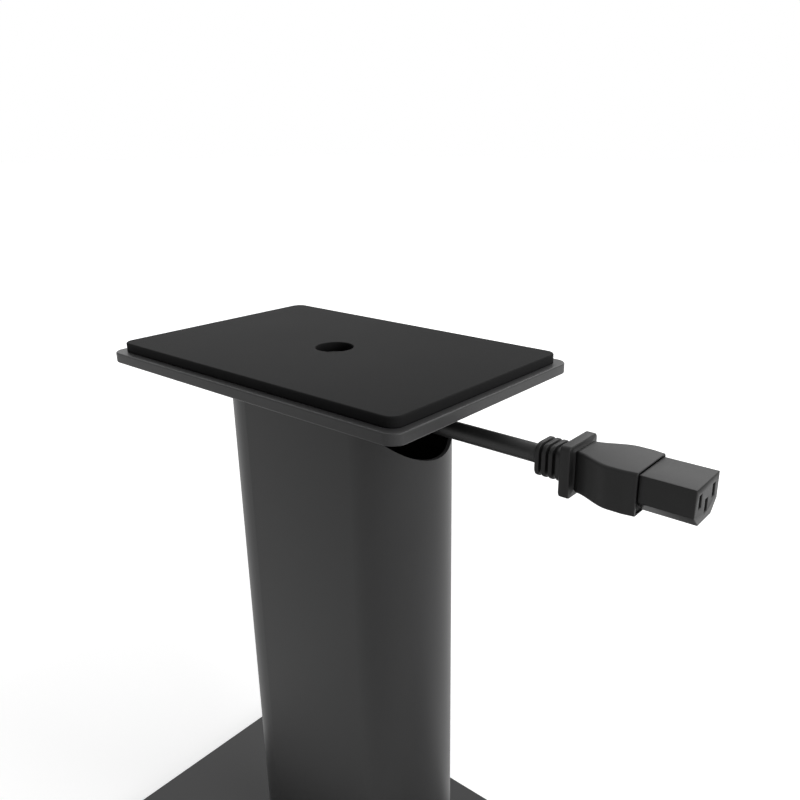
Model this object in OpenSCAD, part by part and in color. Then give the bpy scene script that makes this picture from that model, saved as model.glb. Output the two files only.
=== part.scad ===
// Short speaker stand. A steel top plate with a rubber mat turns on a hollow obround column,
// a flat base on four screw feet carries the column, and a mains lead runs down inside it.
// Millimetres. +Z is up, the origin is on the floor under the middle of the base,
// the front is -Y, and the lead comes out at the rear, which is +Y.

/* [Overall] */
// Height from the floor to the top of the mat
stand_h = 380; // [340:1:900]

/* [Mat] */
// Width of the rubber mat
mat_w = 127; // [100:1:300]
// Depth of the rubber mat
mat_d = 195; // [150:1:400]
// Thickness of the mat
mat_t = 5; // [3:0.5:10]
// Corner radius of the mat
mat_r = 6; // [3:0.5:25]
// Chamfer round the mat's upper edge
mat_edge = 0.8; // [0.2:0.1:2]
// Diameter of the hole over the pivot screw
mat_hole_d = 20; // [18:0.5:40]

/* [Top plate] */
// Bare margin of steel all round the mat
plate_margin = 4.5; // [1:0.5:20]
// Thickness of the top plate
plate_t = 5.5; // [5:0.5:10]
// Corner radius of the top plate
plate_r = 7; // [3:0.5:30]
// Chamfer round the edges of the top plate and the base
plate_edge = 0.8; // [0.2:0.1:1]

/* [Column] */
// Width of the column, also the diameter of its round ends
column_w = 62; // [50:1:90]
// Depth of the column from front to rear
column_d = 140; // [115:1:190]
// Wall of the column
column_wall = 2; // [1.5:0.1:4]
// Radius of the round lead notch at each end of the column's rear
notch_r = 34; // [20:0.5:40]
// Running gap between the column's rim and the top plate
rim_gap = 0.5; // [0.3:0.1:1.5]

/* [Plates in the column] */
// Thickness of the head plate and the foot plate
end_plate_t = 6; // [4:0.5:10]
// Gap filled by the weld round an end plate
weld_gap = 0.1; // [0.05:0.05:0.3]
// How far the head plate stops in front of the rear round end
head_setback = 2; // [1:0.5:10]

/* [Pivot] */
// Diameter of the pivot screw
pivot_d = 8; // [7.5:0.5:10]
// Diameter of the pivot screw's countersunk head
pivot_head_d = 16; // [14:0.5:17]
// Running gap all round the shafts that turn
running_gap = 0.06; // [0.02:0.01:0.09]
// Space between the upper glide disc and the column's wall
glide_space = 7.5; // [3:0.5:10]
// Diameter of the lower glide disc
low_glide_d = 30; // [22:1:50]
// Thickness of the glide discs
glide_t = 1.5; // [1:0.1:3]
// Diameter of the steel washer
washer_d = 24; // [18:1:30]
// Thickness of the steel washer
washer_t = 2; // [1:0.1:3]
// Width across the flats of the lock nut
nut_af = 13; // [13:0.5:18]
// Height of the lock nut with its nylon ring
nut_h = 8; // [6:0.5:10]
// How far the screw stands out below the nut
screw_tail = 3; // [1:0.5:8]
// Width across the flats of the screw's socket
pivot_socket_af = 5; // [4:0.5:6]
// Depth of the screw's socket
pivot_socket_depth = 3; // [2:0.5:4]

/* [Base] */
// Width of the base
base_w = 200; // [160:1:350]
// Depth of the base
base_d = 330; // [240:1:450]
// Thickness of the base
base_t = 6; // [5:0.5:12]
// Corner radius of the base
base_r = 8; // [2:0.5:30]

/* [Base screws] */
// Diameter of the base screws
base_screw_d = 6; // [5:1:8]
// Diameter of their countersunk heads
base_screw_head_d = 12; // [10:0.5:14]
// Distance between the screws across the column
base_screw_gap_x = 34; // [24:1:40]
// Distance between the screws from front to rear
base_screw_gap_y = 76; // [40:1:90]
// Gap all round a screw in its threaded hole
thread_gap = 0.05; // [0.02:0.01:0.1]
// Width across the flats of their sockets
base_socket_af = 4; // [3:0.5:5]
// Depth of their sockets
base_socket_depth = 2.5; // [1.5:0.5:3]
// Straight rim of a countersunk head
head_rim = 0.4; // [0.2:0.1:0.8]

/* [Feet] */
// Diameter of a foot's rubber pad
foot_pad_d = 32; // [20:1:40]
// Height of a foot's rubber pad
foot_pad_h = 8; // [6:0.5:15]
// Chamfer round the pad's lower edge
foot_edge = 1; // [0.5:0.1:2]
// Distance from a foot's axis to the base's two edges
foot_inset = 20; // [18:1:45]
// Diameter of a foot's stud
foot_stud_d = 6; // [5:1:8]
// How deep the stud sits in the pad
stud_depth = 4; // [2:0.5:5]
// How far the stud's tip stays under the base's top face
stud_short = 0.5; // [0:0.1:2]
// Width across the flats of the stud's collar
collar_af = 15; // [10:0.5:18]
// Height of the collar
collar_h = 3; // [2:0.5:8]

/* [Lead] */
// Diameter of the mains lead
cord_d = 8.8; // [7:0.1:9]
// Sides of the lead's tube
cord_sides = 10; // [8:1:12]

/* [Appliance connector] */
// Width of the connector's nose
nose_w = 24; // [23:0.1:24]
// Height of the nose
nose_h = 16.8; // [16:0.1:17]
// Length of the nose
nose_l = 23; // [18:0.5:26]
// Chamfer of the nose's two lower corners
nose_chamfer = 5; // [4:0.1:6]
// Width of a contact slot
slot_w = 2.5; // [2.2:0.1:3]
// Height of a contact slot
slot_h = 5.6; // [5:0.1:6]
// Depth of a contact slot
slot_depth = 17; // [14:0.5:18]
// Distance between the two live slots
slot_spacing = 14; // [14:0.5:15]
// How far the earth slot lies below the live ones
earth_drop = 4; // [4:0.1:4.5]
// Wall of the brass sleeves in the slots
sleeve_wall = 0.4; // [0.3:0.05:0.5]
// How far the sleeves lie behind the nose's face
sleeve_inset = 2.5; // [1:0.5:4]
// Gap all round a sleeve in its slot
sleeve_gap = 0.05; // [0.02:0.01:0.1]
// Width of the grip at its widest
grip_w = 29; // [27:0.5:34]
// Width of the grip at its shoulder, where the nose comes out
shoulder_w = 27.4; // [26:0.1:34]
// Width of the grip at its waist
waist_w = 16; // [14:0.5:24]
// Height of the grip
grip_h = 19; // [18.5:0.5:22]
// Length of the grip
grip_l = 30.5; // [20:0.5:40]
// Radius along the grip's long edges
grip_r = 2; // [1:0.1:4]
// Width of the finger flange
flange_w = 24; // [20:0.5:36]
// Height of the finger flange
flange_h = 23.5; // [19:0.5:28]
// Thickness of the finger flange
flange_t = 5; // [3:0.5:8]
// Length of the smooth neck behind the flange
neck_l = 4.3; // [3:0.1:10]
// Width of the ribbed strain relief
relief_w = 15.5; // [13:0.5:18]
// Height of the ribbed strain relief
relief_h = 15.5; // [13:0.5:18]
// Number of its ribs
relief_ribs = 3; // [2:1:6]
// Length of one rib
rib_l = 2.2; // [1.5:0.1:4]
// Groove behind one rib
rib_groove = 1.2; // [0.8:0.1:2]
// How deep the nose's root sits in the grip
root_depth = 8; // [4:0.5:12]
// How far the nose's root is set in from the nose's sides
root_step = 3; // [2:0.5:4]
// Gap all round the root in the grip
root_gap = 0.1; // [0.05:0.05:0.2]

/* [Mains plug] */
// Width of the plug at its face
plug_w = 27; // [25:0.5:34]
// Height of the plug at its face
plug_h = 24; // [22.5:0.5:24]
// Length of the plug's grip
plug_l = 30; // [24:0.5:45]
// Length of the plug's tapered strain relief
boot_l = 26; // [20:0.5:40]
// Diameter of the strain relief where it meets the grip
boot_d = 15; // [13:0.5:18]
// Number of ribs on it
boot_ribs = 6; // [3:1:8]
// Wall of rubber round the lead at the strain relief's thin end
boot_wall = 1.2; // [0.8:0.1:2]
// How deep the grooves between its ribs are
boot_groove = 1; // [0.5:0.1:1.1]
// Distance between the two flat blades
blade_spacing = 12.7; // [12:0.1:13]
// Width of a blade
blade_w = 6.35; // [6:0.05:7]
// Thickness of a blade
blade_t = 1.5; // [1.4:0.1:2]
// Length of a blade
blade_l = 18; // [15:0.5:18.5]
// Diameter of the hole near a blade's tip
blade_hole_d = 3.2; // [2.5:0.1:3.5]
// Distance from a blade's tip to the middle of its hole
blade_hole_inset = 6.3; // [5.5:0.1:7]
// Radius of a blade's two corners
blade_r = 1.5; // [0.5:0.1:2.5]
// Diameter of the earth pin
earth_d = 4.8; // [4.5:0.1:5]
// Length of the earth pin
earth_l = 21; // [18:0.5:22]
// Distance from the blades' middle to the earth pin
earth_offset = 11.9; // [11.5:0.1:12.2]

/* [Coil] */
// Turns in the coil, with its end a quarter turn past its start
coil_turns = 4.25; // [2.25:1:8.25]
// Diameters of the lead across the coil, at the middle of its turns
coil_across = 11; // [10:0.1:12]
// Gap between turns that lie side by side or on each other
turn_gap = 0.6; // [0.5:0.1:1.5]
// Width of the tie round the coil
tie_w = 12; // [6:1:20]
// Thickness of the tie
tie_t = 1; // [0.8:0.1:2]
// Gap between the tie and the turns in it
tie_gap = 0.8; // [0.5:0.1:1]
// Gap between the lowest turns and the tie under them
rest_gap = 0.3; // [0.1:0.1:0.5]

/* [Hidden] */
$fn = 96;

// Colours of the finishes
coat = [0.24, 0.24, 0.25];
mat_black = [0.13, 0.13, 0.135];
screw_black = [0.09, 0.09, 0.09];
zinc = [0.72, 0.73, 0.75];
nylon = [0.88, 0.87, 0.83];
rubber_black = [0.08, 0.08, 0.08];
moulded_black = [0.2, 0.2, 0.2];
brass = [0.78, 0.6, 0.3];
tie_black = [0.1, 0.1, 0.1];

// One overrun for every cut
over = 1;

// Heights, from the floor up
base_z = foot_pad_h + collar_h;
column_z = base_z + base_t;
plate_z = stand_h - mat_t - plate_t;
column_top_z = plate_z - rim_gap;
column_h = column_top_z - column_z;
head_plate_z = plate_z - glide_t - end_plate_t;
low_glide_z = head_plate_z - glide_t;
washer_z = low_glide_z - washer_t;
nut_z = washer_z - nut_h;

// The top plate follows the mat, and the end plates follow the column's bore
plate_w = mat_w + 2 * plate_margin;
plate_d = mat_d + 2 * plate_margin;
bore_w = column_w - 2 * column_wall;
bore_d = column_d - 2 * column_wall;
glide_d = bore_w - 2 * glide_space;
round_end_y = (column_d - column_w) / 2;

// Points of the lead from the appliance connector to the coil, chosen by hand for a stand of route_h
route_h = 380;
route = [
    [0, 128.5, 352], [0, 109, 352], [0, 90, 352], [0, 70, 352], [0, 50, 352],
    [0, 36, 349.5], [0, 23.5, 342], [0, 14, 329.5], [0, 10, 312], [1, 9, 290],
    [3, 8, 267], [4, 8, 243], [3, 8, 219], [0, 8, 195], [-3, 8, 171],
    [-4, 8, 147], [-3, 8, 123], [-1, 9, 102], [0, 10, 84], [0, 10, 67.4],
    [0, 14, 50], [0, 23.5, 37.4], [0, 36, 30], [0, 50, 27.4],
    [0, 68, 27.4], [-2, 85, 25.2], [-7, 103, 22.2], [-15, 121, 21.4], [-24, 138, 21.4],
    [-33, 154, 21.4], [-40, 167, 21.4], [-47, 180, 18.8], [-52, 193, 14],
    [-56, 206, 9], [-58, 218, 6.3], [-58.4, 228, 5.7], [-58.4, 236.2, 5.7]
];
// Places in the route where the lead goes into the column and comes out of it
goes_in = 4;
comes_out = 23;
// Middle of the coil
coil_at = [0, 245, 0];
// Points of the lead from the coil to the mains plug, chosen by hand
tail_route = [
    [8.8, 303.4, 15.1], [24, 303.4, 15.1], [40, 302, 14.2], [55, 297, 13],
    [67, 288, 12.2], [74.5, 277, 12], [77, 266, 12], [77, 256, 12]
];

// The coil: a spiral that runs in on the lower layer and out on the upper one
coil_rings = 24;
coil_sides = 6;
turn_step = cord_d + turn_gap;
coil_low_z = tie_t + rest_gap + cord_d / 2;
coil_middle_r = coil_across * cord_d / 2;
coil_in_r = coil_middle_r - turn_step * coil_turns / 4;
climb_turns = 0.5;
coil_layers = 2;

// Lengths along the connector, from where the lead goes in
relief_l = relief_ribs * (rib_l + rib_groove);
flange_y = relief_l + neck_l;
grip_y = flange_y + flange_t;
nose_y = grip_y + grip_l;
live_z = earth_drop / 2;
relief_r = relief_w / 4;
flange_r = grip_r;
groove_depth = relief_w / 8;
root_w = nose_w - 2 * root_step;
root_h = nose_h - 2 * root_step;

// Lengths along the plug, from where the lead goes in
plug_face = boot_l + plug_l;
blade_z = (earth_offset - blade_w / 2 + earth_d / 2) / 2;
// The plug's outline as shares of its length, width, height and half its height
plug_form_shares = [
    [0, 0.55, 0.62, 0.6], [0.06, 0.62, 0.7, 0.62], [0.14, 0.76, 0.78, 0.64], [0.24, 0.82, 0.82, 0.62],
    [0.4, 0.8, 0.82, 0.6], [0.55, 0.82, 0.84, 0.56], [0.7, 0.9, 0.9, 0.5], [0.8, 0.97, 0.97, 0.42],
    [0.87, 1, 1, 0.36], [1, 1, 1, 0.36]
];

// Small helpers
function unit(v) = v / norm(v);
function smooth(s) = let (k = max(0, min(1, s))) k * k * (3 - 2 * k);

// The lead's upper end keeps its place under the top plate when the stand's height changes.
// The stretch takes place between these shares of the height that the route was drawn for.
stretch_low_share = 0.25;
stretch_high_share = 0.75;
function lifted(p) = let (
    s = (p[2] / route_h - stretch_low_share) / (stretch_high_share - stretch_low_share)
)
    p + [0, 0, (stand_h - route_h) * smooth(s)];
lead = [for (p = route) lifted(p)];

// Rounded outlines with true arcs
module obround(w, d) {
    square([w, d - w], center = true);
    for (end = [-1, 1])
        translate([0, end * (d - w) / 2])
            circle(d = w);
}

module round_rect(w, d, r) {
    square([w - 2 * r, d], center = true);
    square([w, d - 2 * r], center = true);
    for (x = [-1, 1], y = [-1, 1])
        translate([x * (w / 2 - r), y * (d / 2 - r)])
            circle(r);
}

// The layer of a plate in which its sides lean in by the layer's own height
module leaning_layer(w, d, r, h) {
    at_corners(w - 2 * r, d - 2 * r)
        cylinder(r1 = r, r2 = r - h, h = h);
    translate([-(w / 2 - r), 0, 0])
        rotate([90, 0, 90])
            linear_extrude(w - 2 * r)
                polygon([[-d / 2, 0], [d / 2, 0], [d / 2 - h, h], [h - d / 2, h]]);
    translate([0, d / 2 - r, 0])
        rotate([90, 0, 0])
            linear_extrude(d - 2 * r)
                polygon([[-w / 2, 0], [w / 2, 0], [w / 2 - h, h], [h - w / 2, h]]);
}

// A plate with round corners and a chamfer round its upper edge, and round its lower edge too
module edged_plate(w, d, t, r, edge, lower_edge = true) {
    low = lower_edge ? edge : 0;
    translate([0, 0, low])
        linear_extrude(t - edge - low)
            round_rect(w, d, r);
    translate([0, 0, t - edge])
        leaning_layer(w, d, r, edge);
    if (lower_edge)
        translate([0, 0, edge])
            mirror([0, 0, 1])
                leaning_layer(w, d, r, edge);
}

// Places things at the corners of a rectangle
module at_corners(w, d) {
    for (x = [-1, 1], y = [-1, 1])
        translate([x * w / 2, y * d / 2, 0])
            children();
}

// A hexagon by its width across the flats
module hexagon(af, h) {
    cylinder(d = af / cos(30), h = h, $fn = 6);
}

// A countersunk socket screw, its head's face at z = 0 and its shank downwards
module countersunk_screw(d, head_d, length, socket_af, socket_depth) {
    cone_h = (head_d - d) / 2;
    difference() {
        union() {
            translate([0, 0, -head_rim])
                cylinder(d = head_d, h = head_rim);
            translate([0, 0, -head_rim - cone_h])
                cylinder(d1 = d, d2 = head_d, h = cone_h);
            translate([0, 0, -length])
                cylinder(d = d, h = length - head_rim);
        }
        translate([0, 0, -socket_depth])
            hexagon(socket_af, socket_depth + over);
    }
}

// The hole that such a screw passes through, with a gap all round its shank
module countersunk_hole(d, head_d, length, gap) {
    cone_h = (head_d - d) / 2;
    translate([0, 0, -head_rim])
        cylinder(d = head_d, h = head_rim + over);
    translate([0, 0, -head_rim - cone_h])
        cylinder(d1 = d, d2 = head_d, h = cone_h);
    translate([0, 0, -length - over])
        cylinder(d = d + 2 * gap, h = length + over);
}

// Surface through a row of rings that have the same number of points
module skin(rings) {
    n = len(rings[0]);
    last = (len(rings) - 1) * n;
    start_cap = [for (j = [1:n - 2]) [0, j + 1, j]];
    end_cap = [for (j = [1:n - 2]) [last, last + j, last + j + 1]];
    walls = [
        for (i = [0:len(rings) - 2], j = [0:n - 1])
            let (a = i * n + j, b = i * n + (j + 1) % n)
            each [[a, b, b + n], [a, b + n, a + n]]
    ];
    polyhedron(points = [for (ring = rings) each ring], faces = concat(start_cap, walls, end_cap));
}

// A rounded rectangle's points in a plane across Y
corner_steps = 4;
function box_ring(w, h, r, y) = [
    for (corner = [0:3], step = [0:corner_steps])
        let (
            a = 90 * (corner + step / corner_steps),
            x = (corner == 0 || corner == 3) ? w / 2 - r : r - w / 2,
            z = corner < 2 ? h / 2 - r : r - h / 2
        )
        [x + r * cos(a), y, z + r * sin(a)]
];

// A many-sided ring round a point of the lead, across its direction
function cord_ring(at, along, up, sides, turn) = let (
    u = unit(cross(along, up)),
    v = cross(u, along)
) [
    for (k = [0:sides - 1])
        let (a = turn + 360 * k / sides)
        at + cord_d / 2 * (u * cos(a) + v * sin(a))
];

// Direction of a list of points at one of them
function heading(points, i) =
    unit(points[min(i + 1, len(points) - 1)] - points[max(i - 1, 0)]);

// Tube round some of a route's points. up is a direction that the route never takes.
module cord_tube(points, from, to, up, sides, turn) {
    skin([for (i = [from:to]) cord_ring(points[i], heading(points, i), up, sides, turn)]);
}

// Middle line of the coil after a number of turns
function coil_r(turns) = coil_in_r + turn_step * abs(turns - coil_turns / 2);
function coil_z(turns) =
    coil_low_z + turn_step * smooth((turns - coil_turns / 2) / climb_turns + 1 / 2);
function coil_point(turns) = coil_at + [
    -coil_r(turns) * cos(360 * turns),
    coil_r(turns) * sin(360 * turns),
    coil_z(turns)
];
function coil_end_run(at, direction) = at + direction * cord_d;
coil_line = concat(
    [coil_end_run(coil_point(0), [0, -1, 0])],
    [for (k = [0:coil_turns * coil_rings]) coil_point(k / coil_rings)],
    [coil_end_run(coil_point(coil_turns), [1, 0, 0])]
);

// Length of a line through points, and the least gap between turns that are half a turn or more apart
function line_length(points) = [
    for (i = [0:len(points) - 2]) norm(points[i + 1] - points[i])
] * [for (i = [0:len(points) - 2]) 1];
coil_gap = min([
    for (i = [0:len(coil_line) - 1])
        for (j = [i + coil_rings / 2:1:len(coil_line) - 1])
            norm(coil_line[i] - coil_line[j]) - cord_d
]);
echo(str("Least gap between the coil's turns: ", coil_gap, " mm"));
echo(str("Lead outside and inside the column: ", line_length(lead), " mm"));
echo(str("Lead in the coil: ", line_length(coil_line), " mm, and to the plug: ", line_length(tail_route), " mm"));

// Top plate and what turns with it
module top_mat() {
    color(mat_black)
        difference() {
            translate([0, 0, plate_z + plate_t])
                edged_plate(mat_w, mat_d, mat_t, mat_r, mat_edge, lower_edge = false);
            translate([0, 0, plate_z])
                cylinder(d = mat_hole_d, h = plate_t + mat_t + over);
        }
}

module top_plate() {
    color(coat)
        difference() {
            translate([0, 0, plate_z])
                edged_plate(plate_w, plate_d, plate_t, plate_r, plate_edge);
            translate([0, 0, plate_z + plate_t])
                countersunk_hole(pivot_d, pivot_head_d, plate_t, running_gap);
        }
}

module pivot_screw() {
    length = plate_z + plate_t - nut_z + screw_tail;
    color(screw_black)
        translate([0, 0, plate_z + plate_t])
            countersunk_screw(pivot_d, pivot_head_d, length, pivot_socket_af, pivot_socket_depth);
}

module pivot_nut() {
    ring_h = nut_h / 4;
    color(zinc)
        translate([0, 0, nut_z])
            difference() {
                union() {
                    translate([0, 0, ring_h])
                        hexagon(nut_af, nut_h - ring_h);
                    cylinder(d = nut_af, h = ring_h);
                }
                translate([0, 0, -over])
                    cylinder(d = pivot_d + 2 * thread_gap, h = nut_h + 2 * over);
            }
}

module pivot_disc(d, t, z) {
    translate([0, 0, z])
        difference() {
            cylinder(d = d, h = t);
            translate([0, 0, -over])
                cylinder(d = pivot_d + 2 * running_gap, h = t + 2 * over);
        }
}

module pivot_washer() {
    color(zinc)
        pivot_disc(washer_d, washer_t, washer_z);
}

module upper_glide_disc() {
    color(nylon)
        pivot_disc(glide_d, glide_t, plate_z - glide_t);
}

module lower_glide_disc() {
    color(nylon)
        pivot_disc(low_glide_d, glide_t, low_glide_z);
}

// Column
module lead_notch(z) {
    translate([0, round_end_y, z])
        rotate([-90, 0, 0])
            cylinder(r = notch_r, h = column_w / 2 + over);
}

module column_tube() {
    color(coat)
        difference() {
            translate([0, 0, column_z])
                linear_extrude(column_h)
                    difference() {
                        obround(column_w, column_d);
                        obround(bore_w, bore_d);
                    }
            lead_notch(column_z);
            lead_notch(column_top_z);
        }
}

module column_head_plate() {
    plate_back = round_end_y - head_setback;
    color(coat)
        difference() {
            translate([0, 0, head_plate_z])
                linear_extrude(end_plate_t)
                    intersection() {
                        obround(bore_w - 2 * weld_gap, bore_d - 2 * weld_gap);
                        translate([-bore_w / 2, -bore_d / 2])
                            square([bore_w, bore_d / 2 + plate_back]);
                    }
            translate([0, 0, head_plate_z - over])
                cylinder(d = pivot_d + 2 * running_gap, h = end_plate_t + 2 * over);
        }
}

module column_foot_plate() {
    color(coat)
        translate([0, 0, column_z])
            difference() {
                linear_extrude(end_plate_t)
                    obround(bore_w - 2 * weld_gap, bore_d - 2 * weld_gap);
                at_corners(base_screw_gap_x, base_screw_gap_y)
                    translate([0, 0, -over])
                        cylinder(d = base_screw_d + 2 * thread_gap, h = end_plate_t + 2 * over);
            }
}

// Base
module base_plate() {
    color(coat)
        difference() {
            translate([0, 0, base_z])
                edged_plate(base_w, base_d, base_t, base_r, plate_edge);
            at_corners(base_screw_gap_x, base_screw_gap_y)
                translate([0, 0, base_z])
                    mirror([0, 0, 1])
                        countersunk_hole(base_screw_d, base_screw_head_d, base_t, thread_gap);
            at_corners(base_w - 2 * foot_inset, base_d - 2 * foot_inset)
                translate([0, 0, base_z - over])
                    cylinder(d = foot_stud_d + 2 * running_gap, h = base_t + 2 * over);
        }
}

module base_screws() {
    length = base_t + end_plate_t;
    color(screw_black)
        at_corners(base_screw_gap_x, base_screw_gap_y)
            translate([0, 0, base_z])
                mirror([0, 0, 1])
                    countersunk_screw(base_screw_d, base_screw_head_d, length, base_socket_af, base_socket_depth);
}

// Feet. side is -1 for left and 1 for right, end is -1 for front and 1 for rear.
module at_foot(side, end) {
    translate([side * (base_w / 2 - foot_inset), end * (base_d / 2 - foot_inset), 0])
        children();
}

module foot_pad(side, end) {
    color(rubber_black)
        at_foot(side, end)
            difference() {
                union() {
                    cylinder(d1 = foot_pad_d - 2 * foot_edge, d2 = foot_pad_d, h = foot_edge);
                    translate([0, 0, foot_edge])
                        cylinder(d = foot_pad_d, h = foot_pad_h - foot_edge);
                }
                translate([0, 0, foot_pad_h - stud_depth])
                    cylinder(d = foot_stud_d + 2 * running_gap, h = stud_depth + over);
            }
}

module foot_stud(side, end) {
    stud_l = stud_depth + collar_h + base_t - stud_short;
    color(zinc)
        at_foot(side, end) {
            translate([0, 0, foot_pad_h - stud_depth])
                cylinder(d = foot_stud_d, h = stud_l);
            translate([0, 0, foot_pad_h])
                hexagon(collar_af, collar_h);
        }
}

// Appliance connector on the lead's upper end
module at_connector() {
    translate(lead[0])
        children();
}

// A bar along Y with rounded long edges
module round_bar(w, h, r, y, length) {
    translate([0, y + length, 0])
        rotate([90, 0, 0])
            linear_extrude(length)
                round_rect(w, h, r);
}

// The grip flares from its waist to its widest place and draws in a little to the shoulder
grip_steps = 16;
flare_share = 0.62;
draw_in_share = 0.8;
function grip_width(s) =
    waist_w + (grip_w - waist_w) * smooth(s / flare_share)
    - (grip_w - shoulder_w) * smooth((s - draw_in_share) / (1 - draw_in_share));

module connector_grip() {
    color(moulded_black)
        at_connector()
            difference() {
                union() {
                    skin([
                        for (k = [0:grip_steps])
                            box_ring(grip_width(k / grip_steps), grip_h, grip_r, grip_y + grip_l * k / grip_steps)
                    ]);
                    round_bar(flange_w, flange_h, flange_r, flange_y, flange_t);
                    round_bar(relief_w - 2 * groove_depth, relief_h - 2 * groove_depth, relief_r / 2, 0, flange_y);
                    round_bar(relief_w, relief_h, relief_r, relief_l, neck_l);
                    for (k = [0:relief_ribs - 1])
                        round_bar(relief_w, relief_h, relief_r, k * (rib_l + rib_groove), rib_l);
                }
                translate([-root_w / 2 - root_gap, nose_y - root_depth - root_gap, -root_h / 2 - root_gap])
                    cube([root_w + 2 * root_gap, root_depth + root_gap + over, root_h + 2 * root_gap]);
            }
}

// Contact slots, as places for the slots' and the sleeves' shapes
module at_slots() {
    for (x = [-1, 0, 1])
        translate([x * slot_spacing / 2, nose_y + nose_l, x == 0 ? live_z - earth_drop : live_z])
            children();
}

module connector_nose() {
    w = nose_w / 2;
    h = nose_h / 2;
    color(moulded_black)
        at_connector()
            difference() {
                union() {
                    translate([0, nose_y + nose_l, 0])
                        rotate([90, 0, 0])
                            linear_extrude(nose_l)
                                polygon([
                                    [-w, h], [w, h], [w, nose_chamfer - h],
                                    [w - nose_chamfer, -h], [nose_chamfer - w, -h], [-w, nose_chamfer - h]
                                ]);
                    translate([-root_w / 2, nose_y - root_depth, -root_h / 2])
                        cube([root_w, root_depth, root_h]);
                }
                at_slots()
                    translate([-slot_w / 2, -slot_depth, -slot_h / 2])
                        cube([slot_w, slot_depth + over, slot_h]);
            }
}

module connector_sleeves() {
    w = slot_w - 2 * sleeve_gap;
    h = slot_h - 2 * sleeve_gap;
    length = slot_depth - sleeve_inset;
    color(brass)
        at_connector()
            at_slots()
                translate([0, -slot_depth, 0])
                    difference() {
                        translate([-w / 2, 0, -h / 2])
                            cube([w, length, h]);
                        translate([sleeve_wall - w / 2, sleeve_wall, sleeve_wall - h / 2])
                            cube([w - 2 * sleeve_wall, length, h - 2 * sleeve_wall]);
                    }
}

// Lead
module cord_top() {
    color(rubber_black)
        cord_tube(lead, 0, goes_in, [1, 0, 0], cord_sides, 0);
}

module cord_inside() {
    color(rubber_black)
        cord_tube(lead, goes_in, comes_out, [1, 0, 0], cord_sides, 0);
}

module cord_behind() {
    color(rubber_black)
        cord_tube(lead, comes_out, len(lead) - 1, [1, 0, 0], cord_sides, 0);
}

module cord_coil() {
    color(rubber_black)
        cord_tube(coil_line, 0, len(coil_line) - 1, [0, 0, 1], coil_sides, 180 / coil_sides);
}

module cord_tail() {
    color(rubber_black)
        cord_tube(tail_route, 0, len(tail_route) - 1, [0, 0, 1], cord_sides, 0);
}

// The tie goes round all the turns on the side of the coil that faces the base
tie_turns = [for (k = [0:coil_turns - 1]) coil_r(k + 3 / 4)];
module coil_tie() {
    near = min(tie_turns) - cord_d / 2 - tie_gap;
    far = max(tie_turns) + cord_d / 2 + tie_gap;
    inside_w = far - near;
    inside_h = coil_layers * turn_step - turn_gap + tie_gap;
    corner_r = cord_d / 2;
    color(tie_black)
        translate(coil_at + [tie_w / 2, -(near + far) / 2, tie_t + inside_h / 2])
            rotate([90, 0, -90])
                linear_extrude(tie_w)
                    difference() {
                        round_rect(inside_w + 2 * tie_t, inside_h + 2 * tie_t, corner_r + tie_t);
                        round_rect(inside_w, inside_h, corner_r);
                    }
}

// Mains plug on the lead's lower end, along -Y from the tail's last point
module at_plug() {
    translate(tail_route[len(tail_route) - 1])
        rotate([0, 0, 180])
            children();
}

module plug_grip() {
    thin_d = cord_d + 2 * boot_wall;
    rib_step = boot_l / boot_ribs;
    color(moulded_black)
        at_plug() {
            difference() {
                rotate([-90, 0, 0])
                    cylinder(d1 = thin_d, d2 = boot_d, h = boot_l);
                for (k = [0:boot_ribs - 1])
                    translate([0, (k + 1 / 2) * rib_step, 0])
                        rotate([-90, 0, 0])
                            difference() {
                                cylinder(d = boot_d + 2 * over, h = rib_step / 3);
                                translate([0, 0, -over])
                                    cylinder(
                                        d = thin_d + (boot_d - thin_d) * (k + 1 / 2) / boot_ribs - 2 * boot_groove,
                                        h = rib_step + 2 * over
                                    );
                            }
            }
            skin([
                for (s = plug_form_shares)
                    box_ring(s[1] * plug_w, s[2] * plug_h, s[3] * plug_h / 2, boot_l + s[0] * plug_l)
            ]);
        }
}

// A blade's side view, with its root at x = 0
module blade_outline() {
    difference() {
        union() {
            translate([0, -blade_w / 2])
                square([blade_l - blade_r, blade_w]);
            translate([0, blade_r - blade_w / 2])
                square([blade_l, blade_w - 2 * blade_r]);
            for (side = [-1, 1])
                translate([blade_l - blade_r, side * (blade_w / 2 - blade_r)])
                    circle(blade_r);
        }
        translate([blade_l - blade_hole_inset, 0])
            circle(d = blade_hole_d);
    }
}

module plug_blades() {
    color(brass)
        at_plug()
            for (side = [-1, 1])
                translate([side * blade_spacing / 2 - blade_t / 2, plug_face, blade_z])
                    rotate([90, 0, 90])
                        linear_extrude(blade_t)
                            blade_outline();
}

module plug_earth_pin() {
    tip = earth_d / 4;
    color(brass)
        at_plug()
            translate([0, plug_face, blade_z - earth_offset])
                rotate([-90, 0, 0]) {
                    cylinder(d = earth_d, h = earth_l - tip);
                    translate([0, 0, earth_l - tip])
                        cylinder(d1 = earth_d, d2 = earth_d - 2 * tip, h = tip);
                }
}

top_mat();
top_plate();
pivot_screw();
pivot_nut();
pivot_washer();
upper_glide_disc();
lower_glide_disc();
column_tube();
column_head_plate();
column_foot_plate();
base_plate();
base_screws();
foot_pad(-1, -1);  // foot_pad_front_left
foot_pad(1, -1);  // foot_pad_front_right
foot_pad(-1, 1);  // foot_pad_rear_left
foot_pad(1, 1);  // foot_pad_rear_right
foot_stud(-1, -1);  // foot_stud_front_left
foot_stud(1, -1);  // foot_stud_front_right
foot_stud(-1, 1);  // foot_stud_rear_left
foot_stud(1, 1);  // foot_stud_rear_right
connector_grip();
connector_nose();
connector_sleeves();
cord_top();
cord_inside();
cord_behind();
cord_coil();
cord_tail();
coil_tie();
plug_grip();
plug_blades();
plug_earth_pin();
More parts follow.
